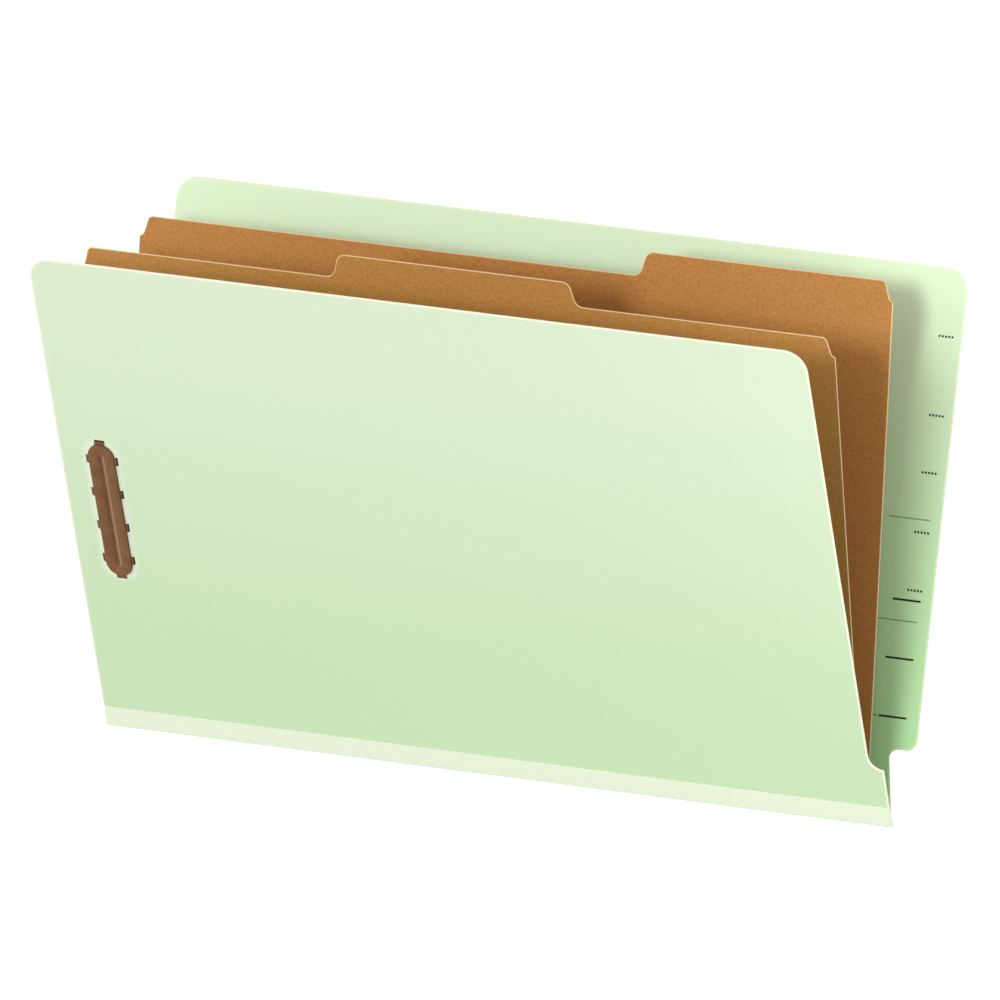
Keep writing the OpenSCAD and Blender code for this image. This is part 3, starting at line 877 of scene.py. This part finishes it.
def bent_tab(bm, root, outward, across, width, reach, leg, spread=0.0):
    """A strip from root that runs outward, bends round and goes down into the board (+Y)."""
    corners = [root + across * side * width / 2 - Vector((0, rise, 0))
               for side, rise in ((-1, 0), (1, 0), (1, STEEL), (-1, STEEL))]
    start = bm.faces.new([bm.verts.new(point) for point in corners])
    to_bend = outward * (reach - STEEL - BEND_RADIUS)
    end = push(bm, [start], to_bend)
    pivot = root + to_bend + Vector((0, BEND_RADIUS, 0))
    turn = outward.cross(Vector((0, 1, 0)))
    spun = bmesh.ops.spin(bm, geom=end, cent=pivot, axis=turn, angle=math.radians(90), steps=BEND_STEPS)
    bend_end = [f for f in spun["geom_last"] if isinstance(f, bmesh.types.BMFace)]
    tip, = push(bm, bend_end, Vector((0, leg, 0)))
    inner_faces = end + bend_end
    if spread:
        walls = [f for edge in tip.edges for f in edge.link_faces if f is not tip]
        outer_wall = max(walls, key=lambda f: f.calc_center_median().dot(outward))
        push(bm, [outer_wall], outward * spread)
        inner_faces.append(outer_wall)
    bmesh.ops.delete(bm, geom=inner_faces, context="FACES_ONLY")


def add_claws(bm, side, board):
    across, along = Vector((side, 0, 0)), Vector((0, 0, 1))
    for index in range(CLAWS_A_SIDE):
        up = (index - (CLAWS_A_SIDE - 1) / 2) * CLAW_PITCH
        root = Vector((side * (PLATE_WIDTH / 2 - STEEL), 0, up))
        bent_tab(bm, root, across, along, CLAW_LENGTH, CLAW_REACH + STEEL, board * CLAW_LEG_SHARE,
                 SLIT_REVEAL)


def add_tongue(bm, side, board, reach):
    bent_tab(bm, Vector((0, 0, side * TONGUE_ROOT)), Vector((0, 0, side)), Vector((1, 0, 0)),
             TONGUE_WIDTH, reach, board)


print(2 * CLAWS_A_SIDE, "claws and 2 tongues a plate")

# %% [markdown]
# ### Painted shade and highlight on the lacquer
# Two attributes colour the lacquer: one darkens it as painted shade at the foot of the wall,
# where a claw enters the board and on the channel's shaded wall, and the other brightens the
# channel's other wall as a painted highlight. The plate is rich in points just there, so values
# on the points are enough, and no mask is needed.

# %% Painted shade and highlight
CHANNEL_SHADE, WALL_FADE, HIGHLIGHT_RISE = 0.45, 0.6, 3.2


def from_middle_line(point):
    """Distance of a point from the plate's middle line, seen from above."""
    past_end = max(abs(point.z) - (PLATE_LENGTH - PLATE_WIDTH) / 2, 0.0)
    return math.hypot(point.x, past_end)


def painted_shade_strength(point):
    """How much painted shade the lacquer gets: most at the foot of the wall, where a claw enters the board and on
    the channel's shaded wall.
    """
    distance = from_middle_line(point)
    if distance < CHANNEL_WIDTH / 2:
        shaded = 0.5 - point.x / CHANNEL_WIDTH
        return CHANNEL_SHADE * shaded * (PLATE_HEIGHT + point.y) / CHANNEL_DEPTH
    if distance < PLATE_WIDTH / 2 - STEEL / 2:
        return 0.0
    on_wall = distance < PLATE_WIDTH / 2 + STEEL / 4
    fade = WALL_FADE / (PLATE_HEIGHT - PLATE_ROUND) if on_wall else 1 / STEEL
    return min(max(1.0 + fade * point.y, 0.0), 1.0)


def painted_highlight_strength(point):
    """How much painted highlight the lacquer gets: most halfway up the channel's lit wall."""
    distance = from_middle_line(point)
    share = 2 * distance / CHANNEL_WIDTH
    if share >= 1 or point.x <= 0:
        return 0.0
    return min(HIGHLIGHT_RISE * min(share, 1 - share), 1.0) * point.x / distance


def mark_lacquer(bm):
    painted_shade = bm.verts.layers.float.new("painted_shade")
    painted_highlight = bm.verts.layers.float.new("painted_highlight")
    for vertex in bm.verts:
        vertex[painted_shade] = painted_shade_strength(vertex.co)
        vertex[painted_highlight] = painted_highlight_strength(vertex.co)


print("seam at the wall's foot:", painted_shade_strength(Vector((PLATE_WIDTH / 2, 0, 0))))

# %% [markdown]
# ### Plates on the covers
# A plate is made lying flat, marked, and then seated on the outside of its cover. The one on
# the back cover is a mirror image, which turns a mesh inside out, so its normals are
# recalculated before it goes to its place.

# %% Pressed plates
def fastener_plate(leaf, outward):
    node = leaf.replace("cover", "fastener_plate")
    low, high = leaf_box(node, leaf)
    board = leaf_thickness(leaf)
    bm = pressed_sheet()
    for side in (-1, 1):
        add_claws(bm, side, board)
        add_tongue(bm, side, board, (high.z - low.z) / 2 - TONGUE_ROOT)
    mark_lacquer(bm)
    if outward > 0:
        bmesh.ops.scale(bm, verts=bm.verts, vec=(1, -1, 1))
    bmesh.ops.recalc_face_normals(bm, faces=bm.faces)
    for face in bm.faces:
        face.smooth = True
    seat = Vector(((low.x + high.x) / 2, outward * board / 2, (low.z + high.z) / 2))
    bmesh.ops.translate(bm, verts=bm.verts, vec=seat)
    bmesh.ops.transform(bm, matrix=leaf_place[leaf], verts=bm.verts)
    return finish_piece(leaf + "_pressed_plate", bm, steel_finish, leaf, [node])


for leaf, outward in (("front_cover", -1), ("back_cover", 1)):
    plate = fastener_plate(leaf, outward)
    print(plate.name, len(plate.data.polygons), "faces")

# %% [markdown]
# ## Prongs and straps
# On each face that holds papers, two soft steel prongs pierce the sheets and fold flat. Those of
# a divider start from two straps. Their shapes are right in the frame, so modelling them again
# would gain nothing: each gets only the rolled edges of stamped strip.

# %% Steel strips
STRIP_ROLL = 0.07 * MM


def stamped(node):
    bm = merged_copy(node)
    round_edges(bm, sharp_edges(bm), STRIP_ROLL, ROLL_STEPS)
    bmesh.ops.dissolve_degenerate(bm, dist=MERGE, edges=bm.edges)
    for face in bm.faces:
        face.smooth = True
    return bm


body_of_node = {
    node: body for body, nodes in frame["record"]["behaviour"]["bodies"].items() for node in nodes
}
strip_nodes = [node for node in frame["nodes"] if "_prong_" in node or node.endswith("divider_fastener")]
for node in strip_nodes:
    strip = stamped(node)
    finish_piece(node + "_strip", strip, steel_finish, body_of_node[node], [node])
print(len(strip_nodes), "steel strips")

# %% [markdown]
# ### Rivet heads
# Two rivets hold the straps of each divider. A low round head could be spun from a profile, but
# a flattened sphere that is sunk past its middle in the strap shows the same dome in one step.

# %% Rivets
RIVET_OFFSET, RIVET_HEAD, RIVET_RISE = 4.5 * MM, 1.9 * MM, 0.45 * MM
RIVET_SUNK = 0.05 * MM
RIVET_SEGMENTS = 24


def rivet_heads(leaf):
    low, high = leaf_box(leaf + "_fastener", leaf)
    centre = (low + high) / 2
    bm = bmesh.new()
    for seat in (low.y + RIVET_SUNK, high.y - RIVET_SUNK):
        for up in (-RIVET_OFFSET, RIVET_OFFSET):
            head = bmesh.ops.create_uvsphere(
                bm, u_segments=RIVET_SEGMENTS, v_segments=RIVET_SEGMENTS // 2, radius=RIVET_HEAD
            )
            bmesh.ops.scale(bm, verts=head["verts"], vec=(1, RIVET_RISE / RIVET_HEAD, 1))
            bmesh.ops.translate(bm, verts=head["verts"], vec=(centre.x, seat, centre.z + up))
    for face in bm.faces:
        face.smooth = True
    bmesh.ops.transform(bm, matrix=leaf_place[leaf], verts=bm.verts)
    return finish_piece(leaf + "_rivets", bm, steel_finish, leaf)


for leaf in DIVIDERS:
    print(rivet_heads(leaf).name)

# %% [markdown]
# ## Label guides
# The strip of the back cover beyond the dividers carries printed guides that show where index
# labels go: short dashes, fine dotted rules and solid rules. A mask in the board's material
# would need a node for every rule. Thin bars of ink laid on the board are simpler, made in a
# loop from three kinds of rule. Rows are given in millimetres in the frame of the leaf.

# %% Printed guides
INK_DEPTH = 0.02 * MM
DASH_ROWS = ((374.2, 211.2), (373.8, 176.6), (373.4, 151.5), (373.0, 125.4), (372.8, 100.0))
DASHES, DASH_PITCH, DASH_SIZE = 5, 1.55 * MM, (0.95 * MM, 0.95 * MM)
DOTTED_ROWS = ((360.5, 380.2, 131.0), (359.6, 379.9, 86.4), (362.4, 365.6, 44.4))
DOT_PITCH, DOT_SIZE = 0.95 * MM, (0.48 * MM, 0.65 * MM)
SOLID_ROWS = ((366.3, 379.8, 95.5), (365.9, 379.5, 70.0), (365.8, 379.2, 44.4))
RULE_HEIGHT = 0.9 * MM
FACES_A_BAR = 6


def ink_bar(bm, leaf, x_start, x_end, up, height):
    bar = bmesh.ops.create_cube(bm, size=1)
    bmesh.ops.scale(bm, verts=bar["verts"], vec=(x_end - x_start, INK_DEPTH, height))
    bmesh.ops.translate(
        bm, verts=bar["verts"], vec=((x_start + x_end) / 2, -leaf_thickness(leaf) / 2, up)
    )


def ink_row(bm, leaf, start, up, count, pitch, size):
    for index in range(count):
        ink_bar(bm, leaf, start + index * pitch, start + index * pitch + size[0], up, size[1])


guides = bmesh.new()
for start, up in DASH_ROWS:
    ink_row(guides, "back_cover", start * MM, up * MM, DASHES, DASH_PITCH, DASH_SIZE)
for start, end, up in DOTTED_ROWS:
    dots = round((end - start) * MM / DOT_PITCH)
    ink_row(guides, "back_cover", start * MM, up * MM, dots, DOT_PITCH, DOT_SIZE)
for start, end, up in SOLID_ROWS:
    ink_bar(guides, "back_cover", start * MM, end * MM, up * MM, RULE_HEIGHT)
bmesh.ops.transform(guides, matrix=leaf_place["back_cover"], verts=guides.verts)
label_guides = finish_piece("label_guides", guides, ink_finish, "back_cover")
print(label_guides.name, len(label_guides.data.polygons) // FACES_A_BAR, "bars")

# %% [markdown]
# ## Floor and sky
# The photograph has a plain white ground. A white floor alone would turn grey at a distance, so
# it glows faintly, like a light table. It sends no bounced light to the boards, because the
# sky's lower half stands in for the light that such a floor sends up, with less noise.

# %% Floor and sky
FLOOR_HALF = 6.0
FLOOR_GREY, WHITE = (0.6, 0.6, 0.6, 1.0), (1.0, 1.0, 1.0, 1.0)
FLOOR_GLOW, FLOOR_ROUGHNESS, FLOOR_SPECULAR = 0.75, 0.9, 0.1
SKY_ABOVE, SKY_BELOW, SKY_BLEND = 0.42, 0.41, 0.5


def pale_floor():
    bm = bmesh.new()
    bmesh.ops.create_grid(bm, x_segments=1, y_segments=1, size=FLOOR_HALF)
    mesh = bpy.data.meshes.new("floor")
    bm.to_mesh(mesh)
    bm.free()
    material, _, shader = new_material("pale_floor")
    shader.inputs["Base Color"].default_value = FLOOR_GREY
    shader.inputs["Emission Color"].default_value = WHITE
    shader.inputs["Emission Strength"].default_value = FLOOR_GLOW
    shader.inputs["Roughness"].default_value = FLOOR_ROUGHNESS
    shader.inputs["Specular IOR Level"].default_value = FLOOR_SPECULAR
    mesh.materials.append(material)
    floor = bpy.data.objects.new("floor", mesh)
    floor.visible_diffuse = False
    bpy.context.scene.collection.objects.link(floor)


def soft_sky(above, below):
    """A plain white sky that changes softly from one strength below the horizon to one above it."""
    world = bpy.data.worlds.new("sky")
    world.use_nodes = True
    tree = world.node_tree
    direction = add_node(tree, "ShaderNodeTexCoord").outputs["Generated"]
    height = add_node(tree, "ShaderNodeSeparateXYZ", {"Vector": direction}).outputs["Z"]
    background = tree.nodes["Background"]
    background.inputs["Color"].default_value = WHITE
    strength = map_range(tree, height, -SKY_BLEND, SKY_BLEND, below, above)
    tree.links.new(strength, background.inputs["Strength"])
    bpy.context.scene.world = world


pale_floor()
soft_sky(SKY_ABOVE, SKY_BELOW)
print("floor", 2 * FLOOR_HALF, "m wide under a soft sky")

# %% [markdown]
# ## Lights
# Wide lamps keep attention on the board. The key sun stands in front and a little above. A
# second sun, low on the left, throws the soft shadow of each leaf to the right on the leaf
# behind it, as in the photograph. A soft box lights the open end, and a sun behind keeps the
# back view bright. Suns have no distance to tune, so they suit an object of any size.

# %% Suns and soft box
# Each sun: direction towards it, strength, and spread in degrees.
SUNS = {
    "key": ((-0.01, -1.0, 0.315), 1.4, 16),
    "left": ((-1.0, -0.6, 0.12), 1.26, 50),
    "back": ((-0.5, 1.0, 0.4), 1.5, 30),
}
SIDE_PLACE, SIDE_AIM = (0.42, -0.08, 0.2), (0.17, 0.0, 0.12)
SIDE_POWER, SIDE_SIZE = 0.46, 0.25


def facing(direction):
    """The turn that makes a lamp shine from a direction."""
    return Vector(direction).to_track_quat("Z", "Y").to_euler()


def wide_sun(name, towards_light, strength, spread):
    """A sun that shines from the given direction with a soft edge."""
    lamp = bpy.data.lights.new(name, "SUN")
    lamp.energy = strength
    lamp.angle = math.radians(spread)
    sun = bpy.data.objects.new(name, lamp)
    sun.rotation_euler = facing(towards_light)
    bpy.context.scene.collection.objects.link(sun)


def side_lamp(place, aim, power, size):
    """A small soft box beside the open end."""
    lamp = bpy.data.lights.new("side", "AREA")
    lamp.energy = power
    lamp.size = size
    box = bpy.data.objects.new("side", lamp)
    box.location = place
    box.rotation_euler = facing(Vector(place) - Vector(aim))
    bpy.context.scene.collection.objects.link(box)


for name, (towards_light, strength, spread) in SUNS.items():
    wide_sun(name, towards_light, strength, spread)
side_lamp(SIDE_PLACE, SIDE_AIM, SIDE_POWER, SIDE_SIZE)
bpy.context.scene.view_settings.view_transform = "Standard"
print("lights:", list(SUNS), "and a soft box")

# %% [markdown]
# ## Camera
# The camera is far away with a long lens, because the photograph's parallel edges stay almost
# parallel. Its direction, roll and scale were fitted to the corners of the covers. Setting them
# by eye would leave every edge a few pixels off.

# %% Camera
VIEW_AZIMUTH, VIEW_ELEVATION = math.radians(26.6476), math.radians(16.3004)
VIEW_ROLL = math.radians(-0.808165)
VIEW_DISTANCE = 12.0
IMAGE_PIXELS = 1000
PIXELS_A_METRE = 2294.44
AIM_POINT = Vector((0.0, 0.0, 0.115))
AIM_PIXEL = (499.347, 520.191)


def photo_camera():
    back = Vector((
        math.sin(VIEW_AZIMUTH) * math.cos(VIEW_ELEVATION),
        -math.cos(VIEW_AZIMUTH) * math.cos(VIEW_ELEVATION),
        math.sin(VIEW_ELEVATION),
    ))
    level = Vector((math.cos(VIEW_AZIMUTH), math.sin(VIEW_AZIMUTH), 0.0))
    upright = back.cross(level)
    right = level * math.cos(VIEW_ROLL) + upright * math.sin(VIEW_ROLL)
    up = upright * math.cos(VIEW_ROLL) - level * math.sin(VIEW_ROLL)
    centre = (AIM_POINT
              + right * (IMAGE_PIXELS / 2 - AIM_PIXEL[0]) / PIXELS_A_METRE
              - up * (IMAGE_PIXELS / 2 - AIM_PIXEL[1]) / PIXELS_A_METRE)
    lens = bpy.data.cameras.new("photo_camera")
    lens.lens = lens.sensor_width * VIEW_DISTANCE * PIXELS_A_METRE / IMAGE_PIXELS
    camera = bpy.data.objects.new("photo_camera", lens)
    camera.matrix_world = Matrix.Translation(centre + back * VIEW_DISTANCE) @ Matrix(
        (right, up, back)).transposed().to_4x4()
    bpy.context.scene.collection.objects.link(camera)
    bpy.context.scene.camera = camera
    return lens


print("lens", round(photo_camera().lens), "mm")
